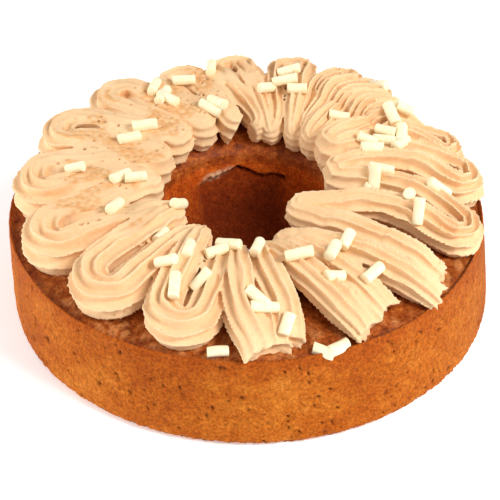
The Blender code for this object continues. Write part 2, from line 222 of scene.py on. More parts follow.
# How high above the lid's level cream counts as touched, from not at all to wholly.
TOUCHED = (-0.4, 2.5)

# The lid smeared the cream from this far below its level up, and wiped most of its ridges out.
SMEAR_HEIGHTS = (-4.5, -0.8)
SMEAR_ROUNDS = 26
SMEAR_ENDS = (1.35, 1.0)
SMEARED_CRESTS = 0.7

# Voxel steps are evened out in so many rounds. Then crests are drawn out, by how far they stand out.
STAIR_ROUNDS = 2
CREST_ROUNDS = 9
CREST_GAIN = 0.7
CREST_MOST = 0.5

# The cream's noise, as (size, offset), and how much of each it and its rough patches show.
CREAM_NOISE = {
    "lumps": (5.0, 91.0), "fine": (1.3, 71.0), "grain": (0.6, 83.0), "patches": (17.0, 97.0),
    "crumbs": (2.2, 103.0),
}
CREAM_RELIEF = {"lumps": 0.14, "fine": 0.08, "grain": 0.05}
PATCH_RELIEF = {"crumbs": 0.5, "fine": 0.3}
PATCH_EDGE = 0.12
# Little holes in it, as (how many, radius, depth), and how much they need to face up.
CREAM_PITS = (170, 0.55, 0.7)
CREAM_PITS_UP = 0.2
PATCH_PITS = (110, 0.9, 1.2)
PATCH_PITS_UP = 0.7
# From where to where the cream counts as a groove or a crest, by how far it stands out. Grooves are coloured
# darker as painted shade, and crests paler as painted highlight.
PAINTED_GROOVE_SHADE_RANGE = (0.03, 0.4)
PAINTED_CREST_HIGHLIGHT_RANGE = (0.08, 0.45)
# How strongly a patch shows, and how much its crumbs change that.
PATCH_SHADE = 0.6
PATCH_SHADE_CRUMBS = 0.9

# A white chocolate stick. Its rings are at the stations, which are shares of its length.
STICK_LENGTH = 11.0
STICK_RADIUS = 2.5
STICK_SIDES = 28
STICK_SINK = 0.3
STICK_STATIONS = (-0.5, -0.49, -0.46, -0.3, -0.1, 0.1, 0.3, 0.46, 0.49, 0.5)
STICK_WIDTHS = (0.86, 0.95, 1.0, 1.0, 1.0, 1.0, 1.0, 1.0, 0.95, 0.86)
STICK_LENGTHS = (0.8, 1.1)
STICK_THICKNESSES = (0.9, 1.08)
STICK_BOW = 0.25
STICK_SLANT = 0.35
STICK_ROUGHNESS = 0.05
STICK_LUMPS = 4
STICK_NOISE_SPAN = 90
STICK_SHARP_ANGLE = 50
# A stick lies on the surface at its middle and this share of its length to both sides.
PROBE_SHARE = 0.4
PROBE_FROM = 200.0
# How the sticks scatter: their headings, and where those lie that fell beside another.
HEADING_SPREAD = 5
PATCH_TURN_SPREAD = 30
PATCH_SPREAD = 3.6
# The sticks, as (angle, distance from the axis, heading, how many fell there).
CREAM_STICKS = (
    (103, 85, 90, 1), (107, 54, -45, 2), (114, 79, 0, 1), (125, 80, 80, 2),
    (125, 68, -50, 1), (146, 59, 10, 2), (180, 79, -23, 1), (189, 52, 10, 2),
    (206, 66, 58, 1), (216, 39, 70, 1), (231, 61, 66, 1), (243, 78, -19, 1),
    (247, 67, 77, 1), (255, 80, 30, 1), (256, 60, 23, 2), (249, 88, 87, 1),
    (273, 57, 70, 1), (272, 87, -43, 2), (279, 97, 58, 1), (288, 67, 0, 1),
    (296, 81, 30, 1), (300, 70, 66, 1), (308, 67, 66, 1), (307, 86, 40, 1),
    (337, 80, 87, 1), (343, 73, 89, 1), (347, 64, 0, 1), (352, 53, 53, 1),
    (353, 85, 13, 1), (359, 59, -10, 2), (13, 57, 0, 1), (14, 71, 53, 2),
    (22, 58, 0, 1), (23, 68, -30, 2), (30, 76, -70, 1), (31, 84, -5, 1),
    (46, 60, -5, 1), (49, 94, -37, 1), (70, 65, -5, 1), (76, 77, 0, 1),
    (76, 68, 0, 1), (83, 63, 43, 1),
)
CRUST_STICKS = ((262.5, 103.2, 0, 1), (286.8, 105, -20, 1), (290.4, 105, 35, 1))

# Camera, as the photograph was taken: 500 x 500 pixels, the cake's base centre at (250.4, 284).
CAMERA_TILT = 39.0
CAMERA_DISTANCE = 853.6
FOCAL_PIXELS = 1800.0
FRAME_PIXELS = 500.0
BASE_PIXEL = (250.4, 284.0)
SENSOR = 36.0

# Studio light: its lamps as (name, place in metres, size in metres, power), the world and the floor.
LAMPS = (
    ("key", (0.75, -0.5, 0.95), 0.45, 13.6),
    ("low_left", (-1.1, -0.05, 0.2), 0.7, 11.0),
    ("low_right", (1.1, -0.1, 0.18), 0.6, 1.2),
)
LAMP_TARGET = (0, 0, 0.03)
WORLD_STRENGTH = 0.5
FLOOR_HALF = 4.0
FLOOR_GLOW = 0.3


def srgb(red, green, blue):
    """Linear colour of an 8-bit sRGB one."""
    colour = (red, green, blue)
    return tuple(((c / 255 + 0.055) / 1.055) ** 2.4 if c > 10 else c / 255 / 12.92 for c in colour)


def polar(angle, radius, height=0.0):
    turn = math.radians(angle)
    return Vector((radius * math.cos(turn), radius * math.sin(turn), height))


def noise_field(points, size, offset=0.0):
    """Smooth noise, about -1 to 1, with features of the given size in millimetres."""
    shift = Vector((offset, offset * 1.7, offset * 0.6))
    return np.array([noise.noise(Vector(point) + shift) for point in (points / size).tolist()])


def noise_fields(points, kinds):
    return {name: noise_field(points, *kind) for name, kind in kinds.items()}


def relief(fields, weights):
    return sum(weight * fields[name] for name, weight in weights.items())


def smoothstep(low, high, value):
    share = np.clip((value - low) / (high - low), 0, 1)
    return share * share * (3 - 2 * share)


def new_mesh(name, points, faces):
    """A mesh from points in millimetres and faces."""
    mesh = bpy.data.meshes.new(name)
    mesh.from_pydata((np.asarray(points) * MM).tolist(), [], [tuple(face) for face in faces])
    mesh.validate()
    mesh.update()
    return mesh


def new_object(name, mesh):
    obj = bpy.data.objects.new(name, mesh)
    bpy.context.scene.collection.objects.link(obj)
    return obj


def vectors(items, field):
    flat = np.empty(len(items) * 3, np.float32)
    items.foreach_get(field, flat)
    return flat.reshape(-1, 3).astype(float)


def set_positions(mesh, points):
    mesh.vertices.foreach_set("co", (points * MM).astype(np.float32).reshape(-1))
    mesh.update()


def relaxed(mesh, points, rounds):
    """The points after each has moved halfway to its neighbours' mean that many times."""
    pairs = np.empty(len(mesh.edges) * 2, np.int32)
    mesh.edges.foreach_get("vertices", pairs)
    first, second = pairs.reshape(-1, 2).T
    total = len(points)
    share = np.maximum(np.bincount(first, minlength=total) + np.bincount(second, minlength=total), 1)
    points = points.copy()
    for _ in range(rounds):
        for axis in range(3):
            line = points[:, axis]
            near = np.bincount(first, line[second], total) + np.bincount(second, line[first], total)
            points[:, axis] = (line + near / share) / 2
    return points


def set_mask(mesh, name, values):
    mask = mesh.attributes.new(name, "FLOAT", "POINT")
    mask.data.foreach_set("value", values.astype(np.float32))


# The baked ring.


def crust_height(radius):
    """Height of the baked top: an arch between the rim and a rounded shoulder at the hole."""
    if radius > CROWN_RADIUS:
        share = (radius - CROWN_RADIUS) / (RIM_RADIUS - CROWN_RADIUS)
        return CROWN_HEIGHT - (CROWN_HEIGHT - CRUST_EDGE_HEIGHT) * share**CROWN_CURVE
    if radius > SHOULDER_RADIUS:
        return CROWN_HEIGHT
    share = min(1.0, (SHOULDER_RADIUS - radius) / (SHOULDER_RADIUS - HOLE_RADIUS))
    return CROWN_HEIGHT - SHOULDER_DROP * (1 - math.sqrt(1 - share**2))


def ring_outline():
    """Closed outline of the ring's section, in even steps, with the base in long ones."""
    inner_rim = RIM_RADIUS - RIM_WIDTH
    side = [
        (RIM_RADIUS - RIM_OUTER_EDGE[0], RIM_HEIGHT),
        (RIM_RADIUS, RIM_HEIGHT - RIM_OUTER_EDGE[1]),
        *((SIDE_RADIUS - inside, RIM_HEIGHT * share) for inside, share in SIDE_BULGE),
        (SIDE_RADIUS, BASE_CHAMFER),
        (SIDE_RADIUS - BASE_CHAMFER, 0.0),
    ]
    hole = [
        (HOLE_BASE_RADIUS + BASE_CHAMFER, 0.0),
        (HOLE_BASE_RADIUS, BASE_CHAMFER),
        (HOLE_RADIUS - HOLE_WAIST[0], RIM_HEIGHT * HOLE_WAIST[1]),
    ]
    for step in range(SHOULDER_STEPS + 1):
        turn = math.pi / 2 * step / SHOULDER_STEPS
        radius = HOLE_RADIUS + (SHOULDER_RADIUS - HOLE_RADIUS) * (1 - math.cos(turn))
        hole.append((radius, crust_height(radius)))
    radius = SHOULDER_RADIUS
    while radius < inner_rim - FILLET_MARGIN:
        radius += PROFILE_STEP
        hole.append((radius, crust_height(radius)))
    hole += [
        (inner_rim - RIM_FILLET[0], crust_height(inner_rim)),
        (inner_rim, crust_height(inner_rim) + RIM_FILLET[1]),
        *((inner_rim + outwards, RIM_HEIGHT - down) for outwards, down in RIM_INNER_EDGE),
    ]
    base = [(SIDE_RADIUS - BASE_CHAMFER - BASE_STEP * step, 0.0) for step in range(1, BASE_STEPS + 1)]
    outline = []
    for line in (side, hole + side[:1]):
        for (r0, z0), (r1, z1) in zip(line, line[1:]):
            count = max(1, round(math.hypot(r1 - r0, z1 - z0) / PROFILE_STEP))
            outline += [(r0 + (r1 - r0) * i / count, z0 + (z1 - z0) * i / count) for i in range(count)]
        if line is side:
            outline += [side[-1]] + base
    return np.array(outline)


# A pit's radius and depth as shares of what is asked for, and how much narrower it is along each axis.
PIT_SIZES = (0.5, 1.3)
PIT_DEPTHS = (0.5, 1.2)
PIT_SQUEEZES = ((0.6, 1.2), (0.6, 1.2), (0.6, 1.3))


def pits(points, where, count, size, depth, rng):
    """How deep each point is in round pits scattered where the mask allows."""
    chosen = np.flatnonzero(where)
    sunk = np.zeros(len(points))
    for _ in range(count):
        centre = points[chosen[rng.randrange(len(chosen))]]
        radius = size * rng.uniform(*PIT_SIZES)
        squeeze = np.array([rng.uniform(*limits) for limits in PIT_SQUEEZES])
        near = np.abs(points - centre).max(1) < radius * 2
        away = np.linalg.norm((points[near] - centre) * squeeze, axis=1) / radius
        sunk[near] = np.maximum(sunk[near], depth * rng.uniform(*PIT_DEPTHS) * smoothstep(1, 0, away))
    return sunk


# The baked ring's noise, as (size, offset), and how much of each its parts show.
CAKE_NOISE = {
    "broad": (38.0, 0.0), "lumps": (11.0, 0.0), "small": (4.5, 11.0), "crumb": (1.7, 23.0),
    "grain": (0.9, 31.0),
}
SIDE_RELIEF = {"broad": 0.45, "small": 0.2, "crumb": 0.13, "grain": 0.07}
TOP_RELIEF = {"lumps": 0.8, "small": 0.35, "crumb": 0.12, "grain": 0.05}
HOLE_RELIEF = {"small": 0.5, "crumb": 0.2, "lumps": 0.9}

# The side: how far it is set in, and the heights between which it has pores and big pores.
BASE_LEVEL = 0.5
SIDE_MARGIN = 0.6
SIDE_SET_IN = 0.35
SIDE_PITS = (260, 1.1, 1.0)
SIDE_PIT_HEIGHTS = (2, 44)
BIG_PITS = (14, 1.7, 1.3)
BIG_PIT_HEIGHTS = (4, 42)
# Painted shade: the side is coloured darker towards its top, between these heights.
PAINTED_TOP_SHADE_HEIGHTS = (30, 46)

# The side's foot crumbles up to this height, by noise that is stretched upwards.
CRUMBLE_TOP = 4.5
CRUMBLE_LEAST = 0.2
CRUMBLE_DEPTH = 2.6
CRUMBLE_RISE = 0.5
CRUMBLE_NOISE = (2.8, 5.0)
CRUMBLE_STRETCH = (1, 1, 0.4)

# The crust is blistered near the rim, between these distances from the axis.
BLISTER_STARTS = (86, 98)
BLISTER_ENDS = (108, 103)
BLISTER_NOISE = (6.0, 41.0)
BLISTER_CURVE = 0.8
BLISTER_HEIGHT = 1.5
# The blisters are raised, and where they stand out most their tops are coloured paler: painted sheen.
BLISTER_SHEEN_RANGE = (0.18, 0.5)
TOP_LEAST_HEIGHT = 30
TOP_PITS = (160, 0.8, 0.7)
TOP_PITS_FROM = 80
TOP_PIT_SHADE = 0.8
# The rim's top is a little lower in places.
RIM_MARGIN = 0.2
RIM_WAVE = 0.7
RIM_NOISE = (16.0, 3.0)
RIM_SET_DOWN = 0.5

# The hole's wall. It has pores from this height, and less relief towards its foot.
HOLE_MARGIN = 0.5
HOLE_SET_IN = 0.5
HOLE_RELIEF_SHARE = 0.8
HOLE_RELIEF_MOST = 2.5
HOLE_PITS = (70, 1.0, 0.9)
HOLE_PITS_FROM = 10
HOLE_PIT_SHADE = 0.7
HOLE_CALM = (2, 14)
HOLE_SHADE = (44, 38)
# Painted shade: the hole's wall is coloured darker towards its foot, between these heights.
PAINTED_HOLE_SHADE_HEIGHTS = (40, 8)

# The hole's far wall creeps inwards by this much at its foot, between these heights.
FOOT_CREEP = 3.9
FOOT_CREEP_HEIGHTS = (18, 2)
FOOT_MARGIN = 1
HOLE_FOOT_HEIGHT = 20

# The crack in the hole's far wall, as (angle, height).
CRACK = (
    (124, 32.5), (118, 33.6), (114, 33.3), (109, 34.5),
    (103, 35.9), (98.7, 37.5), (94, 36.0), (90, 35.0),
    (83, 32.4), (75, 34.0), (68, 33.5),
)
CRACK_NOISE = (2.2, 7.0)
CRACK_WANDER = 0.8
CRACK_HALF = (1.3, 0.2)
CRACK_RADIUS = 40
CRACK_STRETCH = 0.7
CRACK_DEPTH = 2.2
CRACK_SHADE = 1.1

# Below the crack the wall is torn: where that begins at its sides, top and foot, and how deep it is.
WALL_RIGHT = (62, 76)
WALL_LEFT = (132, 122)
WALL_TOP = (0.4, -0.8)
WALL_FOOT = (8, 16)
WALL_DEPTH = 1.8
WALL_NOISE = (3.0, 17.0)
WALL_LUMPS = 0.5
WALL_GRAIN = 0.3

# Bare pale crumb above the crack: the middle and half width of its arc, how far above, how thick.
PALE_ANGLE = 113.0
PALE_SPREAD = 15.0
PALE_RISE = 1.2
PALE_HALF = 3.4
PALE_EDGE = (1, 0.4)
PALE_LEAST = 0.75
PALE_CRUMB = 1.2


def crack_depth(angles, heights):
    """How near each point of the hole's far wall is to the crack in it, 0 to 1."""
    best = np.full(len(angles), np.inf)
    unrolled = np.stack([angles * CRACK_STRETCH, heights, heights * 0], 1)
    heights = heights + CRACK_WANDER * noise_field(unrolled, *CRACK_NOISE)
    places = np.stack([np.radians(angles) * CRACK_RADIUS, heights], 1)
    for (a0, z0), (a1, z1) in zip(CRACK, CRACK[1:]):
        start = np.array([math.radians(a0) * CRACK_RADIUS, z0])
        end = np.array([math.radians(a1) * CRACK_RADIUS, z1])
        here = places - start
        along = np.clip(here @ (end - start) / ((end - start) @ (end - start)), 0, 1)
        best = np.minimum(best, np.linalg.norm(here - along[:, None] * (end - start), axis=1))
    return smoothstep(*CRACK_HALF, best)


class Ring:
    """The turned section's points before their relief, and the noise that shapes them."""

    def __init__(self, outline):
        self.radius = np.tile(outline[:, 0], CAKE_STEPS)
        self.height = np.tile(outline[:, 1], CAKE_STEPS)
        self.turn = np.repeat(np.arange(CAKE_STEPS) * 2 * math.pi / CAKE_STEPS, len(outline))
        self.angle = np.degrees(self.turn)
        across, along = self.radius * np.cos(self.turn), self.radius * np.sin(self.turn)
        self.points = np.stack([across, along, self.height], 1)
        self.fields = noise_fields(self.points, CAKE_NOISE)

    def between(self, low, high):
        return (self.height > low) & (self.height < high)


def side_relief(ring, rng):
    """How far the side goes in, how much its foot crumbles, where the side is, and its pores."""
    is_side = (ring.radius > RIM_RADIUS - SIDE_MARGIN) & (ring.height > BASE_LEVEL)
    is_foot = (ring.radius > SIDE_RADIUS - BASE_CHAMFER - FOOT_MARGIN) & (ring.height <= BASE_LEVEL)
    crumbling = smoothstep(CRUMBLE_TOP, BASE_LEVEL, ring.height) * (is_side | is_foot)
    crumbs = np.abs(noise_field(ring.points * CRUMBLE_STRETCH, *CRUMBLE_NOISE))
    inward = np.where(is_side, SIDE_SET_IN + relief(ring.fields, SIDE_RELIEF), 0.0)
    inward += crumbling * (CRUMBLE_LEAST + CRUMBLE_DEPTH * crumbs)
    pores = pits(ring.points, is_side & ring.between(*SIDE_PIT_HEIGHTS), *SIDE_PITS, rng)
    big_pores = pits(ring.points, is_side & ring.between(*BIG_PIT_HEIGHTS), *BIG_PITS, rng)
    pores = np.maximum(pores, big_pores)
    inward = np.where(is_side | is_foot, np.maximum(inward + pores, 0.0), 0.0)
    return inward, crumbling, is_side, pores


def top_relief(ring, rng):
    """How far the crust and the rim rise, the crust's pores, and the mask of its blisters' painted sheen."""
    is_rim = (ring.radius > RIM_RADIUS - RIM_WIDTH - RIM_MARGIN) & (ring.height > CRUST_EDGE_HEIGHT + 1)
    is_top = (ring.radius < RIM_RADIUS - RIM_WIDTH + RIM_MARGIN) & (ring.radius > HOLE_RADIUS)
    is_top &= ring.height > TOP_LEAST_HEIGHT
    near_rim = smoothstep(*BLISTER_STARTS, ring.radius) * smoothstep(*BLISTER_ENDS, ring.radius) * is_top
    blisters = np.abs(noise_field(ring.points, *BLISTER_NOISE)) ** BLISTER_CURVE
    pores = pits(ring.points, is_top & (ring.radius > TOP_PITS_FROM), *TOP_PITS, rng)
    raised = np.where(is_top, relief(ring.fields, TOP_RELIEF), 0.0)
    raised += near_rim * BLISTER_HEIGHT * blisters - pores
    raised += np.where(is_rim, RIM_WAVE * noise_field(ring.points, *RIM_NOISE) - RIM_SET_DOWN, 0)
    raised = np.where(ring.height + raised > RIM_HEIGHT, np.minimum(raised, 0.0), raised)
    return raised, pores, smoothstep(*BLISTER_SHEEN_RANGE, blisters) * near_rim


def hole_relief(ring, rng):
    """How far the hole's wall goes back, its pores and crack, and the masks of what it shows."""
    height, angle = ring.height, ring.angle
    is_hole = (ring.radius < HOLE_RADIUS + HOLE_MARGIN) & (height > BASE_LEVEL)
    crack = crack_depth(angle, height) * is_hole
    line = np.interp(angle, *np.array(CRACK[::-1]).T)
    torn = smoothstep(line + WALL_TOP[0], line + WALL_TOP[1], height)
    torn *= smoothstep(*WALL_RIGHT, angle) * smoothstep(*WALL_LEFT, angle)
    torn *= smoothstep(*WALL_FOOT, height) * is_hole
    torn_relief = WALL_LUMPS * noise_field(ring.points, *WALL_NOISE)
    torn_relief += WALL_GRAIN * ring.fields["grain"]
    inward = np.where(is_hole, relief(ring.fields, HOLE_RELIEF) - HOLE_SET_IN, 0.0) + torn * torn_relief
    pores = pits(ring.points, is_hole & (height > HOLE_PITS_FROM), *HOLE_PITS, rng)
    outward = np.clip(-inward * HOLE_RELIEF_SHARE, 0, HOLE_RELIEF_MOST)
    outward += pores + crack * CRACK_DEPTH + torn * WALL_DEPTH
    outward *= smoothstep(*HOLE_CALM, height)
    is_foot = (ring.radius < HOLE_BASE_RADIUS + BASE_CHAMFER + FOOT_MARGIN) & (height < HOLE_FOOT_HEIGHT)
    creep = np.maximum(0, np.sin(ring.turn)) ** 2 * smoothstep(*FOOT_CREEP_HEIGHTS, height)
    outward = np.where(is_hole | is_foot, outward - FOOT_CREEP * creep * is_foot, 0)
    along = (angle - PALE_ANGLE) / PALE_SPREAD
    above = (height - line - PALE_RISE) / PALE_HALF
    pale = smoothstep(*PALE_EDGE, np.hypot(along, above))
    masks = {
        "hole": is_hole * smoothstep(*HOLE_SHADE, height),
        # Painted shade: the torn wall under the crust's lip and the crack are coloured darker.
        "torn": np.clip(torn + crack, 0, 1),
        # Painted shade: darker towards the hole's foot.
        "deep": smoothstep(*PAINTED_HOLE_SHADE_HEIGHTS, height) * is_hole,
        "pale_crumb": pale * is_hole * np.clip(PALE_LEAST + PALE_CRUMB * ring.fields["crumb"], 0, 1),
    }
    # Painted shade of its pores and crack.
    return outward, pores * HOLE_PIT_SHADE + crack * CRACK_SHADE, masks


def ring_faces(count):
    """Faces between the sections, each of the given count of points, all the way round."""
    step = np.arange(CAKE_STEPS)[:, None]
    place = np.arange(count)[None, :]
    ahead, after = (step + 1) % CAKE_STEPS, (place + 1) % count
    corners = (step * count + place, step * count + after, ahead * count + after, ahead * count + place)
    return np.stack(corners, -1).reshape(-1, 4)


def make_cake():
    """The baked ring: a turned section with its relief."""
    rng = random.Random(SEED)
    outline = ring_outline()
    ring = Ring(outline)
    inward, crumbling, is_side, side_pores = side_relief(ring, rng)
    raised, top_pores, painted_blister_sheen = top_relief(ring, rng)
    outward, hole_dark, masks = hole_relief(ring, rng)

    radius = ring.radius - inward + outward
    height = ring.height + raised + crumbling * CRUMBLE_RISE * np.abs(ring.fields["crumb"])
    share = np.clip((ring.radius - HOLE_RADIUS) / (RIM_RADIUS - HOLE_RADIUS), 0, 1)
    shift = share * (BASE_SHIFT - LEAN * ring.height / RIM_HEIGHT)
    points = np.stack([radius * np.cos(ring.turn) + shift, radius * np.sin(ring.turn), height], 1)
    mesh = new_mesh("baked_ring", points, ring_faces(len(outline)))

    # Painted shade: the pores and the crack are coloured dark.
    masks["painted_pore_shade"] = np.clip(side_pores + top_pores * TOP_PIT_SHADE + hole_dark, 0, 1)
    masks["side"] = is_side.astype(float)
    # Painted shade: the side darkens towards its top.
    masks["painted_top_shade"] = smoothstep(*PAINTED_TOP_SHADE_HEIGHTS, ring.height) * is_side
    # Painted sheen on the blisters' tops.
    masks["painted_blister_sheen"] = painted_blister_sheen
    for name, values in masks.items():
        set_mask(mesh, name, values)
    mesh.shade_smooth()
    return new_object("baked_ring", mesh)


# The piped cream.


def inner_stops(angle, reach, radius, rng):
    """The tight turn at the hole, as rows (x, y, bead radius, lift)."""
    centre = polar(angle, reach + radius)
    along = polar(angle + 90, INNER_TURN)
    outward = polar(angle, INNER_TURN)
    lift = rng.uniform(-TURN_LIFT, TURN_LIFT)
    pointed = any(low <= angle <= high for low, high in POINTED_ARCS)
    point = radius * (POINT_SHARE if pointed else 1.0)
    tip = polar(angle, reach + point)
    return [
        stop(centre - along + outward, (radius + point) / 2, lift),
        stop(tip, point, lift + TIP_LIFT),
        stop(centre + along + outward, (radius + point) / 2, lift + AFTER_TIP_LIFT),
    ]


def stop(place, radius, lift):
    return (place.x, place.y, radius, lift)


def lobe_stops(lobe, before, rng):
    """The way out, the outer turn and the way back of one lobe; a torn lobe's way back comes apart."""
    angle, reach, width, torn, bow, next_angle, next_reach, next_radius = lobe
    is_flap = angle == FLAP_ANGLE
    width += FLAP_WIDER * is_flap
    radius = width * BEAD_SHARE
    turn = width / 2 - radius
    centre = polar(angle, reach - radius - turn)
    inner_before = polar(before[0], before[1] + before[2])
    inner_after = polar(next_angle, next_reach + next_radius)
    ahead = (centre - (inner_before + inner_after) / 2).normalized()
    ahead.rotate(Matrix.Rotation(math.radians(-HOOK * bow), 3, "Z"))
    left = Vector((-ahead.y, ahead.x, 0))
    mid_radius = radius * MID_BEAD
    end_out, end_back = centre - left * turn * MID_APART, centre + left * turn * MID_APART
    mid_out = inner_before.lerp(end_out, MID_PLACE) + left * (bow + rng.uniform(-WANDER, WANDER))
    mid_back = inner_after.lerp(end_back, MID_PLACE) + left * (bow + rng.uniform(-WANDER, WANDER))
    way_out = [
        stop(mid_out, mid_radius, LAY_RISE + BACK_RISE / 2),
        stop(centre - left * turn, radius, LAY_RISE / 2),
    ]
    way_back = [stop(centre + left * turn, radius, 0), stop(mid_back, mid_radius, BACK_RISE / 2)]
    if torn:
        apart = turn * (FLAP_TOGETHER if is_flap else 1.0)
        end_out = centre - left * apart * LOOSE_OUT_SIDE + ahead * (turn + radius - TORN * LOOSE_OUT_SHORT)
        end_back = centre + left * apart * LOOSE_BACK_SIDE + ahead * (turn + radius * LOOSE_BACK_AHEAD)
        filling = []
        if is_flap:
            places = [centre + ahead * way * turn for way in FLAP_FILLING]
            filling = [stop(place, radius * FLAP_FILLING_WIDTH, 0) for place in places]
        loose_out, loose_back = stop(end_out, radius, LOOSE_OUT_LIFT), stop(end_back, radius, 0)
        return way_out + [loose_out], [loose_back] + way_back, filling
    diagonal = math.sqrt(0.5)
    outer_turn = [
        stop(centre + (ahead - left) * turn * diagonal, radius, OUTER_LIFT),
        stop(centre + ahead * turn, radius, 0),
        stop(centre + (ahead + left) * turn * diagonal, radius, 0),
    ]
    return way_out + outer_turn + way_back, [], []


def smooth(rows, step):
    """A Catmull-Rom curve through the rows, in even steps in plan."""
    rows = [np.array(row) for row in rows]
    padded = [rows[0] * 2 - rows[1]] + rows + [rows[-1] * 2 - rows[-2]]
    fine = []
    for a, b, c, d in zip(padded, padded[1:], padded[2:], padded[3:]):
        for part in range(CURVE_PARTS):
            t = part / CURVE_PARTS
            bend, swing = a * 2 - b * 5 + c * 4 - d, b * 3 - a - c * 3 + d
            fine.append((b * 2 + (c - a) * t + bend * t**2 + swing * t**3) / 2)
    fine = np.array(fine + [rows[-1]])
    lengths = np.concatenate([[0], np.cumsum(np.linalg.norm(np.diff(fine[:, :2], axis=0), axis=1))])
    even = np.linspace(0, lengths[-1], max(2, round(lengths[-1] / step)))
    return np.stack([np.interp(even, lengths, column) for column in fine.T], 1)


def bead_routes():
    """The nozzle's route, as beads of rows (x, y, radius, lift), and how much of its ridges each bead keeps
    at its two ends if they are torn, or else 0."""
    rng = random.Random(SEED)
    beads, starts_torn = [], 0.0
    stops = inner_stops(*FIRST_TURN, rng)[1:]
    before = FIRST_TURN
    for lobe in LOBES:
        out, back, filling = lobe_stops(lobe, before, rng)
        before = lobe[5:]
        stops += out
        if back:
            ridges_kept = FLAP_RIDGES if lobe[0] == FLAP_ANGLE else 1.0
            beads.append((stops, starts_torn, ridges_kept))
            stops, starts_torn = back, ridges_kept
        if filling:
            beads.append((filling, 0.0, FLAP_RIDGES))
        stops += inner_stops(*before, rng)
    beads.append((stops[:-1], starts_torn, 0.0))
    return [(smooth(rows, ROUTE_STEP), first, last) for rows, first, last in beads]


def tallness(x, y):
    """How much taller than wide the beads are: most at the far side."""
    return TALL + TALLER * np.cos(np.arctan2(y, x) - math.radians(TALLER_AT))


def bead_noise(index, number, length, kind):
    """Smooth noise for each step of the route and each of the nozzle's teeth."""
    apart, beads_apart, start = kind
    shift = number * beads_apart + start
    rows = [[Vector((step / length, tooth * apart, shift)) for tooth in range(TEETH)] for step in index]
    return np.array([[noise.noise(place) for place in row] for row in rows])


def bead_frame(route, number):
    """A bead's centres, the directions (ahead, side, up) there, its radius and its half height."""
    x, y, radius, lift = route.T
    away = np.hypot(x, y)
    crowding = np.clip(1 - (away - INNER_SPREAD - HOLE_RADIUS) / (RIM_RADIUS - HOLE_RADIUS), 0, 1)
    apart, start = PULSE_NOISE
    pulse = [noise.noise(Vector((i / PULSE_LENGTH, number * apart, start))) for i in range(len(route))]
    radius = radius * (1 + PULSE * np.array(pulse))
    least = CROWDED_HALF_HEIGHT * np.clip((away - SHOULDER_RADIUS) / CROWDED_WIDTH, 0, 1)
    half_height = np.clip(radius, least, BEAD_HALF_HEIGHT) * tallness(x, y)
    ground = np.array([crust_height(max(value, OVERHANG_RADIUS)) for value in away])
    height = ground + half_height * SINK + lift
    centres = np.stack([x, y, height + INNER_RISE * crowding**2], 1)
    ahead = np.gradient(centres, axis=0)
    ahead /= np.linalg.norm(ahead, axis=1)[:, None]
    side = np.cross(ahead, [0, 0, 1])
    side /= np.linalg.norm(side, axis=1)[:, None]
    return centres, (ahead, side, np.cross(side, ahead)), radius, half_height


def groove_depth(route):
    """How deep the grooves are along a bead: shallow at the hole, deep on the shells."""
    away = np.hypot(route[:, 0], route[:, 1])
    angle = np.degrees(np.arctan2(route[:, 1], route[:, 0]))
    depth = TOOTH_DEPTH * (INNER_DEPTH + (1 - INNER_DEPTH) * smoothstep(*INNER_DEPTH_ENDS, away))
    at_shell = smoothstep(SHELL_HALF, SHELL_HALF * SHELL_FULL, angle_between(angle, SHELL_ANGLE))
    return depth * (1 + SHELL_DEEPER * (at_shell * smoothstep(*SHELL_STARTS, away)))


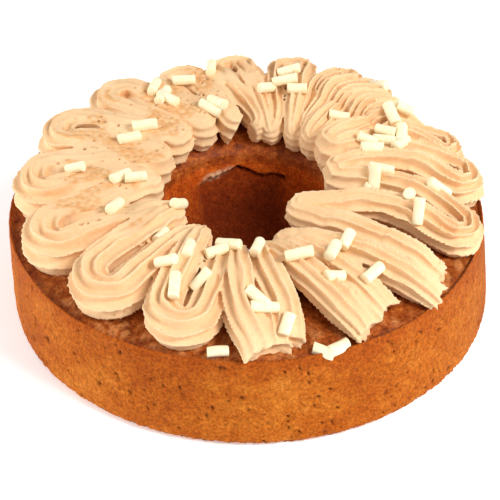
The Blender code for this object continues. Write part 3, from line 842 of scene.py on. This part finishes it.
def bead_mesh(route, torn_start, torn_end, number, rng):
    """One bead swept along its route, closed at both ends. Torn ends flare."""
    centres, (ahead, side, up), radius, half_height = bead_frame(route, number)
    count = len(route)
    index = np.arange(count)
    is_late = index > count / 2
    gap = np.minimum(index if torn_start else count, count - 1 - index if torn_end else count) * ROUTE_STEP
    opening = np.clip(1 - gap / OPEN_LENGTH, 0, 1)[:, None] ** OPEN_CURVE
    depth = groove_depth(route)[:, None]
    ridges_kept = np.where(is_late, torn_end, torn_start)[:, None]
    depth = depth + (OPEN_DEPTH * ridges_kept - depth) * opening
    wide = 1 + (OPEN_FLARE - 1) * opening
    tall = (half_height / radius)[:, None] * (1 - (1 - OPEN_HEIGHT) * opening)
    centres[:, 2] -= opening[:, 0] * half_height * (1 - OPEN_HEIGHT) * SINK

    turn = np.arange(SECTION_POINTS) * 2 * math.pi / SECTION_POINTS
    tooth = (turn / (2 * math.pi) * TEETH + 0.5).astype(int) % TEETH
    tears = np.array([rng.uniform(0, TORN) for _ in range(TEETH)])
    tears = ((tears + np.roll(tears, 1)) / 2)[tooth]
    strength = bead_noise(index, number, CREST_LENGTH, CREST_NOISE)[:, tooth]
    wave = bead_noise(index, number, WAVE_LENGTH, WAVE_NOISE)[:, tooth]
    groove = np.abs(np.sin(turn * TEETH / 2))[None, :] ** GROOVE_CURVE
    section = 1 - depth * groove * (1 + CREST_DEPTH * strength) + CREST_HEIGHT * strength
    reach = radius[:, None] * section
    twist = TWIST * np.sin(index / TWIST_LENGTH)[:, None]
    swing = turn[None, :] + rng.uniform(0, 2 * math.pi) + WAVE * wave + twist
    across = (reach * np.cos(swing) * wide)[..., None]
    upward = (reach * np.sin(swing) * tall)[..., None]
    points = centres[:, None, :] + side[:, None, :] * across + up[:, None, :] * upward
    tongue = opening * (1 - TORN_GROOVES * np.sin(turn * TEETH / 2)[None, :] ** 2) * tears[None, :]
    points += ahead[:, None, :] * (np.where(is_late, 1, -1)[:, None] * tongue)[..., None]

    rings = points.reshape(-1, 3)
    step = np.arange(count - 1)[:, None] * SECTION_POINTS
    here = np.arange(SECTION_POINTS)[None, :]
    after = (here + 1) % SECTION_POINTS
    corners = (step + here, step + after, step + SECTION_POINTS + after, step + SECTION_POINTS + here)
    faces = [tuple(face) for face in np.stack(corners, -1).reshape(-1, 4).tolist()]
    hollow = ahead[[0, -1]] * np.array([[TORN_HOLLOW * (torn_start > 0)], [-TORN_HOLLOW * (torn_end > 0)]])
    start_tip, end_tip, last = len(rings), len(rings) + 1, (count - 1) * SECTION_POINTS
    pairs = [(place, (place + 1) % SECTION_POINTS) for place in range(SECTION_POINTS)]
    faces += [(b, a, start_tip) for a, b in pairs]
    faces += [(last + a, last + b, end_tip) for a, b in pairs]
    return np.concatenate([rings, centres[[0, -1]] + hollow]), faces


def angle_between(a, b):
    return np.abs((a - b + 180) % 360 - 180)


def piped_body():
    """All the beads made one body, as a mesh in an object."""
    rng = random.Random(SEED + 2)
    points, faces, total = [], [], 0
    for number, (route, torn_start, torn_end) in enumerate(bead_routes()):
        bead_points, bead_faces = bead_mesh(route, torn_start, torn_end, number, rng)
        faces += [tuple(corner + total for corner in face) for face in bead_faces]
        points.append(bead_points)
        total += len(bead_points)
    body = new_object("piped_cream", new_mesh("piped_cream", np.concatenate(points), faces))
    remesh = body.modifiers.new("one_body", "REMESH")
    remesh.mode = "VOXEL"
    remesh.voxel_size = CREAM_VOXEL * MM
    bpy.context.view_layer.update()
    mesh = bpy.data.meshes.new_from_object(body.evaluated_get(bpy.context.evaluated_depsgraph_get()))
    body.modifiers.clear()
    body.data = mesh
    mesh.name = "piped_cream"
    return body, rng


def press(mesh, points):
    """Presses the points flat where the lid did and smears them, and says where it touched and smeared."""
    away = angle_between(np.degrees(np.arctan2(points[:, 1], points[:, 0])), PRESSED_ANGLE) / PRESSED_HALF
    waves = sum(high * noise_field(points * UPRIGHT, *kind) for high, *kind in PRESSED_WAVES)
    level = PRESSED_HEIGHT + waves + PRESSED_SLOPE * np.maximum(0.0, away - PRESSED_CORE)
    is_near = away < PRESSED_REACH
    above = points[:, 2] - level
    touched = np.where(is_near, smoothstep(*TOUCHED, above), 0)
    points[:, 2] = np.where(is_near & (above > 0), level + above * PRESSED_KEEP, points[:, 2])
    smeared = smoothstep(*SMEAR_ENDS, away) * smoothstep(*SMEAR_HEIGHTS, points[:, 2] - level)
    points += (relaxed(mesh, points, SMEAR_ROUNDS) - points) * smeared[:, None]
    return touched, smeared


def make_cream():
    """The piped cream, pressed flat in one sector, with sharp crests."""
    body, rng = piped_body()
    mesh = body.data
    points = relaxed(mesh, vectors(mesh.vertices, "co") / MM, STAIR_ROUNDS)
    touched, smeared = press(mesh, points)
    set_positions(mesh, points)

    normal = vectors(mesh.vertex_normals, "vector")
    standing = ((points - relaxed(mesh, points, CREST_ROUNDS)) * normal).sum(1)
    fields = noise_fields(points, CREAM_NOISE)
    patch = smoothstep(-PATCH_EDGE, PATCH_EDGE, fields["patches"]) * touched
    push = relief(fields, CREAM_RELIEF) + patch * relief(fields, PATCH_RELIEF)
    push += CREST_GAIN * np.clip(standing, -CREST_MOST, CREST_MOST) * (1 - SMEARED_CRESTS * smeared)
    holes = pits(points, normal[:, 2] > CREAM_PITS_UP, *CREAM_PITS, rng)
    in_patch = (touched > 0.5) & (normal[:, 2] > PATCH_PITS_UP)
    holes = np.maximum(holes, pits(points, in_patch, *PATCH_PITS, rng))
    set_positions(mesh, points + normal * (push - holes)[:, None])
    # Painted shade in the grooves and painted highlight on the crests.
    set_mask(mesh, "groove", smoothstep(*PAINTED_GROOVE_SHADE_RANGE, -standing))
    set_mask(mesh, "crest", smoothstep(*PAINTED_CREST_HIGHLIGHT_RANGE, standing))
    set_mask(mesh, "tan_patch", patch * np.clip(PATCH_SHADE + PATCH_SHADE_CRUMBS * fields["crumbs"], 0, 1))
    # Painted shade: the little holes are coloured darker.
    set_mask(mesh, "hole", np.clip(holes, 0, 1))
    mesh.shade_smooth()
    return body


# The sticks.


def stick_points(rng):
    """One stick along X: a slightly uneven rod with cut ends."""
    length = STICK_LENGTH * rng.uniform(*STICK_LENGTHS)
    radius = STICK_RADIUS * rng.uniform(*STICK_THICKNESSES)
    bow = rng.uniform(-STICK_BOW, STICK_BOW)
    shift = rng.uniform(0, STICK_NOISE_SPAN)
    slant = (rng.uniform(-STICK_SLANT, STICK_SLANT), rng.uniform(-STICK_SLANT, STICK_SLANT))
    points, faces = [], []
    for station, width in zip(STICK_STATIONS, STICK_WIDTHS):
        for side in range(STICK_SIDES):
            turn = 2 * math.pi * side / STICK_SIDES
            place = Vector((station * STICK_LUMPS + shift, math.cos(turn), math.sin(turn)))
            reach = radius * width * (1 + STICK_ROUGHNESS * noise.noise(place))
            y, z = reach * math.cos(turn), reach * math.sin(turn)
            lean = slant[station > 0] * y / radius * abs(station) * 2
            points.append((station * length + lean, y, z + bow * (1 - 4 * station**2)))
    last = (len(STICK_STATIONS) - 1) * STICK_SIDES
    for ring in range(0, last, STICK_SIDES):
        for side in range(STICK_SIDES):
            a, b = ring + side, ring + (side + 1) % STICK_SIDES
            faces.append((b, a, a + STICK_SIDES, b + STICK_SIDES))
    faces.append(tuple(range(STICK_SIDES)))
    faces.append(tuple(reversed(range(last, last + STICK_SIDES))))
    return np.array(points), faces


def scatter_sticks(name, patches, surface, seed):
    """Lays sticks on a surface and joins them into one piece."""
    rng = random.Random(seed)
    tree = BVHTree.FromObject(surface, bpy.context.evaluated_depsgraph_get())

    def surface_point(place):
        hit = tree.ray_cast(Vector((place.x, place.y, PROBE_FROM * MM)), Vector((0, 0, -1)))[0]
        return hit or Vector((place.x, place.y, CROWN_HEIGHT * MM))

    all_points, all_faces, total = [], [], 0
    for angle, distance, heading, count in patches:
        for number in range(count):
            spread = PATCH_SPREAD * (number > 0)
            shift = Vector((rng.gauss(0, spread), rng.gauss(0, spread), 0))
            place = (polar(angle, distance) + shift) * MM
            turn_spread = HEADING_SPREAD + PATCH_TURN_SPREAD * (number > 0)
            turned = math.radians(heading + rng.gauss(0, turn_spread))
            along = Vector((math.cos(turned), math.sin(turned), 0))
            half = along * STICK_LENGTH * PROBE_SHARE * MM
            low, middle, high = (surface_point(place + half * side) for side in (-1, 0, 1))
            direction = (high - low).normalized()
            lift = STICK_RADIUS * (1 - STICK_SINK) * MM
            points, faces = stick_points(rng)
            turn = direction.to_track_quat("X", "Z").to_matrix()
            centre = Vector((place.x, place.y, max(middle.z, (low.z + high.z) / 2) + lift)) / MM
            all_points.append(points @ np.array(turn).T + np.array(centre))
            all_faces += [tuple(corner + total for corner in face) for face in faces]
            total += len(points)
    mesh = new_mesh(name, np.concatenate(all_points), all_faces)
    mesh.shade_smooth()
    mesh.set_sharp_from_angle(angle=math.radians(STICK_SHARP_ANGLE))
    return new_object(name, mesh)


# Materials.


class Nodes:
    """A short way to write a node tree."""

    def __init__(self, name):
        self.material = bpy.data.materials.new(name)
        self.material.use_nodes = True
        self.tree = self.material.node_tree
        self.shader = self.tree.nodes["Principled BSDF"]
        self.coordinates = self.add("ShaderNodeTexCoord").outputs["Object"]

    def add(self, kind, **settings):
        node = self.tree.nodes.new(kind)
        for key, value in settings.items():
            setattr(node, key, value)
        return node

    def link(self, source, target):
        self.tree.links.new(source, target)

    def feed(self, node, values):
        """Gives the node's inputs, by number, a number, a colour or what another node puts out."""
        for place, value in values.items():
            if isinstance(value, (int, float)):
                node.inputs[place].default_value = value
            elif isinstance(value, tuple):
                node.inputs[place].default_value = (*value, 1.0)
            else:
                self.link(value, node.inputs[place])

    def noise(self, size, detail=4.0, roughness=0.6):
        """Noise whose features are about the given size in millimetres."""
        node = self.add("ShaderNodeTexNoise")
        node.inputs["Scale"].default_value = 1 / (size * MM)
        node.inputs["Detail"].default_value = detail
        node.inputs["Roughness"].default_value = roughness
        self.link(self.coordinates, node.inputs["Vector"])
        return node.outputs["Fac"]

    def cells(self, size):
        """Distance to the middle of the nearest cell, of about the given size."""
        node = self.add("ShaderNodeTexVoronoi")
        node.inputs["Scale"].default_value = 1 / (size * MM)
        self.link(self.coordinates, node.inputs["Vector"])
        return node.outputs["Distance"]

    def mask(self, name):
        return self.add("ShaderNodeAttribute", attribute_name=name).outputs["Fac"]

    def colours(self, factor, stops):
        return self.ramp(factor, [(position, srgb(*colour)) for position, colour in stops])

    def ramp(self, factor, stops):
        """A colour ramp of (position, linear colour) stops."""
        node = self.add("ShaderNodeValToRGB")
        elements = node.color_ramp.elements
        while len(elements) < len(stops):
            elements.new(0.5)
        for element, (position, colour) in zip(elements, stops):
            element.position = position
            element.color = (*colour, 1.0)
        self.link(factor, node.inputs["Fac"])
        return node.outputs["Color"]

    def mix(self, factor, first, second, blend="MIX"):
        node = self.add("ShaderNodeMix", data_type="RGBA", blend_type=blend)
        self.feed(node, {0: factor, 6: first, 7: second})
        return node.outputs[2]

    def math(self, operation, first, second=0.0):
        node = self.add("ShaderNodeMath", operation=operation)
        self.feed(node, {0: first, 1: second})
        return node.outputs[0]

    def tint(self, colour, mask, strength, target):
        """The colour turned to the target where the mask says so, by the given strength at most."""
        return self.mix(self.math("MULTIPLY", self.mask(mask), strength), colour, srgb(*target))

    def set(self, **values):
        """Sets the shader's own sockets, whose names are written with underscores."""
        for name, value in values.items():
            self.shader.inputs[name.replace("_", " ")].default_value = value

    def bump(self, height, depth, strength=1.0):
        """A bump of the given depth in millimetres."""
        node = self.add("ShaderNodeBump")
        node.inputs["Strength"].default_value = strength
        node.inputs["Distance"].default_value = depth * MM
        self.link(height, node.inputs["Height"])
        self.link(node.outputs["Normal"], self.shader.inputs["Normal"])


# Colours are 8-bit sRGB, alone or as stops (position on the noise, colour). Grain, shade, specks and gloss
# are stops of plain factors.
SIDE_COLOURS = ((0.30, (148, 62, 10)), (0.48, (177, 90, 19)), (0.62, (196, 112, 33)), (0.78, (215, 139, 58)))
# Painted shade at the top of the side.
PAINTED_TOP_SHADE_COLOUR = (162, 70, 14)
CRUST_COLOURS = ((0.30, (112, 44, 10)), (0.50, (158, 74, 22)), (0.66, (192, 106, 42)))
# Painted sheen on the blisters.
BLISTER_SHEEN_COLOUR = (206, 134, 76)
HOLE_COLOURS = ((0.32, (162, 60, 9)), (0.52, (194, 84, 16)), (0.72, (214, 108, 32)))
# Painted shade under the crust's lip and in the crack.
PAINTED_TORN_SHADE_COLOUR = (120, 40, 6)
# Painted shade deep in the hole.
PAINTED_HOLE_SHADE_COLOUR = (84, 23, 3)
# Painted shade in the pores and the crack.
PAINTED_PORE_SHADE_COLOUR = (58, 16, 2)
PALE_COLOUR = (228, 184, 144)
CAKE_SPECKS = ((0.0, (0.3, 0.24, 0.18)), (0.17, (1.0, 1.0, 1.0)))
CAKE_GRAIN = ((0.34, (0.42, 0.36, 0.26)), (0.5, (0.95, 0.94, 0.92)), (0.64, (1.35, 1.45, 1.6)))
CRUST_GLOSS = ((0.35, (0.3, 0.3, 0.3)), (0.65, (0.55, 0.55, 0.55)))
CRUMB_ROUGHNESS = (0.95, 0.95, 0.95)
CREAM_COLOURS = ((0.35, (239, 197, 149)), (0.65, (245, 208, 162)))
CREAM_SHADE = ((0.3, (0.90, 0.86, 0.80)), (0.6, (1.0, 1.0, 1.0)))
# Painted shade in the grooves and painted highlight on the crests.
PAINTED_GROOVE_SHADE_COLOUR = (222, 165, 108)
PAINTED_CREST_HIGHLIGHT_COLOUR = (250, 219, 176)
TAN_COLOUR = (220, 158, 96)
# Painted shade in the cream's little holes.
PAINTED_CREAM_PIT_SHADE_COLOUR = (176, 112, 60)
CREAM_SPECKS = ((0.0, (0.55, 0.42, 0.3)), (0.05, (1.0, 1.0, 1.0)))
CHOCOLATE_COLOURS = ((0.35, (250, 234, 192)), (0.65, (254, 243, 208)))


def cake_material():
    nodes = Nodes("baked_crust")
    broad = nodes.noise(30, 3)
    mottle = nodes.noise(5, 5, 0.7)
    grain = nodes.noise(1.3, 4, 0.75)
    side = nodes.colours(nodes.mix(0.5, broad, mottle), SIDE_COLOURS)
    # Painted shade: the side turns darker towards its top.
    side = nodes.tint(side, "painted_top_shade", 0.6, PAINTED_TOP_SHADE_COLOUR)
    # Painted sheen: the blisters' tops turn paler.
    crust = nodes.tint(nodes.colours(mottle, CRUST_COLOURS), "painted_blister_sheen", 0.7, BLISTER_SHEEN_COLOUR)
    colour = nodes.mix(nodes.mask("side"), crust, side)
    colour = nodes.mix(nodes.mask("hole"), colour, nodes.colours(mottle, HOLE_COLOURS))
    # Painted shade: the torn wall under the crust's lip and the crack turn darker.
    colour = nodes.tint(colour, "torn", 0.7, PAINTED_TORN_SHADE_COLOUR)
    # Painted shade: the hole's wall darkens towards its foot.
    colour = nodes.tint(colour, "deep", 0.82, PAINTED_HOLE_SHADE_COLOUR)
    colour = nodes.mix(0.6, colour, nodes.ramp(nodes.cells(2.4), CAKE_SPECKS), "MULTIPLY")
    colour = nodes.mix(0.8, colour, nodes.ramp(grain, CAKE_GRAIN), "MULTIPLY")
    # Painted shade: the pores and the crack turn dark.
    colour = nodes.tint(colour, "painted_pore_shade", 1.0, PAINTED_PORE_SHADE_COLOUR)
    colour = nodes.tint(colour, "pale_crumb", 1.0, PALE_COLOUR)
    nodes.link(colour, nodes.shader.inputs["Base Color"])
    is_crumb = nodes.math("MAXIMUM", nodes.mask("side"), nodes.mask("hole"))
    roughness = nodes.mix(is_crumb, nodes.ramp(mottle, CRUST_GLOSS), CRUMB_ROUGHNESS)
    nodes.link(roughness, nodes.shader.inputs["Roughness"])
    nodes.set(Specular_IOR_Level=0.14, Sheen_Weight=0.12, Sheen_Roughness=0.35)
    nodes.set(Sheen_Tint=(1.0, 0.8, 0.4, 1.0))
    nodes.bump(nodes.mix(0.4, grain, nodes.noise(0.6, 2)), 0.6, 0.8)
    return nodes.material


def cream_material():
    nodes = Nodes("coffee_cream")
    fine = nodes.noise(1.4, 4, 0.65)
    colour = nodes.colours(nodes.noise(22, 3), CREAM_COLOURS)
    colour = nodes.mix(0.6, colour, nodes.ramp(fine, CREAM_SHADE), "MULTIPLY")
    # Painted shade in the grooves, painted highlight on the crests.
    colour = nodes.tint(colour, "groove", 0.5, PAINTED_GROOVE_SHADE_COLOUR)
    colour = nodes.tint(colour, "crest", 0.5, PAINTED_CREST_HIGHLIGHT_COLOUR)
    colour = nodes.tint(colour, "tan_patch", 0.85, TAN_COLOUR)
    # Painted shade: the little holes turn darker.
    colour = nodes.tint(colour, "hole", 0.8, PAINTED_CREAM_PIT_SHADE_COLOUR)
    colour = nodes.mix(0.35, colour, nodes.ramp(nodes.cells(5.0), CREAM_SPECKS), "MULTIPLY")
    nodes.link(colour, nodes.shader.inputs["Base Color"])
    nodes.set(Roughness=0.7, Specular_IOR_Level=0.15, Subsurface_Weight=0.08)
    nodes.set(Subsurface_Radius=(1.0, 0.5, 0.25), Subsurface_Scale=0.001)
    nodes.bump(fine, 0.2, 0.4)
    return nodes.material


def stick_material():
    nodes = Nodes("white_chocolate")
    colour = nodes.colours(nodes.noise(3, 3), CHOCOLATE_COLOURS)
    nodes.link(colour, nodes.shader.inputs["Base Color"])
    nodes.set(Roughness=0.5, Specular_IOR_Level=0.3, Subsurface_Weight=0.2)
    nodes.set(Subsurface_Radius=(1.0, 0.8, 0.5), Subsurface_Scale=0.0015)
    nodes.bump(nodes.noise(1.2, 3), 0.15, 0.5)
    return nodes.material


def floor_material():
    nodes = Nodes("pale_floor")
    white = (1.0, 1.0, 1.0, 1.0)
    nodes.set(Base_Color=white, Emission_Color=white, Emission_Strength=FLOOR_GLOW, Roughness=0.8)
    return nodes.material


# Camera, light and floor.


def set_stage():
    mesh = bpy.data.meshes.new("floor")
    corners = [(FLOOR_HALF * x, FLOOR_HALF * y, 0) for x, y in ((-1, -1), (1, -1), (1, 1), (-1, 1))]
    mesh.from_pydata(corners, [], [(0, 1, 2, 3)])
    floor = new_object("floor", mesh)
    floor.data.materials.append(floor_material())

    world = bpy.data.worlds.new("studio")
    world.use_nodes = True
    background = world.node_tree.nodes["Background"]
    background.inputs["Color"].default_value = (1.0, 1.0, 1.0, 1.0)
    background.inputs["Strength"].default_value = WORLD_STRENGTH
    bpy.context.scene.world = world
    bpy.context.scene.view_settings.view_transform = "Standard"

    for name, place, size, power in LAMPS:
        data = bpy.data.lights.new(name, "AREA")
        data.size = size
        data.energy = power
        light = bpy.data.objects.new(name, data)
        light.location = place
        light.rotation_euler = (Vector(LAMP_TARGET) - Vector(place)).to_track_quat("-Z", "Y").to_euler()
        bpy.context.scene.collection.objects.link(light)

    data = bpy.data.cameras.new("camera")
    data.sensor_width = SENSOR
    data.lens = FOCAL_PIXELS / FRAME_PIXELS * SENSOR
    data.shift_x = (FRAME_PIXELS / 2 - BASE_PIXEL[0]) / FRAME_PIXELS
    data.shift_y = (BASE_PIXEL[1] - FRAME_PIXELS / 2) / FRAME_PIXELS
    camera = bpy.data.objects.new("camera", data)
    tilt = math.radians(CAMERA_TILT)
    camera.location = Vector((0, -math.cos(tilt), math.sin(tilt))) * CAMERA_DISTANCE * MM
    camera.rotation_euler = (math.pi / 2 - tilt, 0, 0)
    bpy.context.scene.collection.objects.link(camera)
    bpy.context.scene.camera = camera


def main():
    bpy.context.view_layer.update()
    set_stage()

    cake = make_cake()
    cream = make_cream()
    cream_sticks = scatter_sticks("cream_sticks", CREAM_STICKS, cream, SEED)
    crust_sticks = scatter_sticks("crust_sticks", CRUST_STICKS, cake, SEED + 1)

    chocolate = stick_material()
    for piece, material, node, slot in (
        (cake, cake_material(), "cake_ring", "baked_crust"),
        (crust_sticks, chocolate, "cake_ring", "baked_crust"),
        (cream, cream_material(), "cream_ring", "coffee_cream"),
        (cream_sticks, chocolate, "cream_ring", "coffee_cream"),
    ):
        piece.data.materials.append(material)
        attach(piece, "root")
        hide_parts(node)


main()
